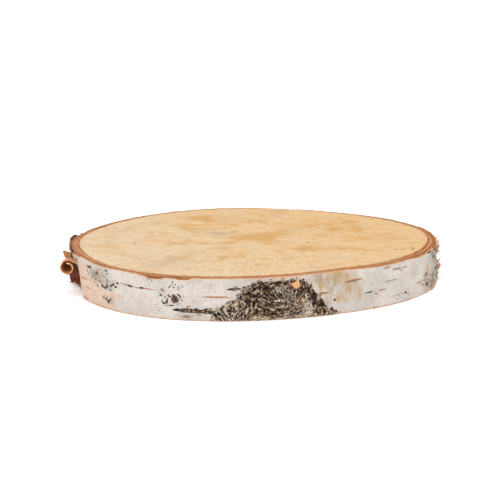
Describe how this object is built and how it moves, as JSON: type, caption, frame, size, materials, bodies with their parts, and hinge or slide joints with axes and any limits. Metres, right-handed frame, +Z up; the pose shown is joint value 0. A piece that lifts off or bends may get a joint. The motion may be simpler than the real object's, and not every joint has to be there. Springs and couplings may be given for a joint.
{
  "type": "birch wood slice",
  "caption": "Round slice sawn across a birch log, with flat sawn faces and the bark left on round the edge.",
  "frame": {"origin": "middle of the lower sawn face, on the surface that the slice lies on", "axes": "+Z up through the slice, out of the upper sawn face; -Y towards the front, where the branch scar is; +X to the right"},
  "size_m": [0.2601, 0.2505, 0.0285],
  "materials": {
    "birch_wood": "sawn, unfinished birch wood, cream with amber streaks",
    "birch_bark": "matt white papery birch bark with dark lenticels and a black fissured scar"
  },
  "bodies": {
    "root": {"birch_slice": "birch_wood"}
  },
  "joints": []
}
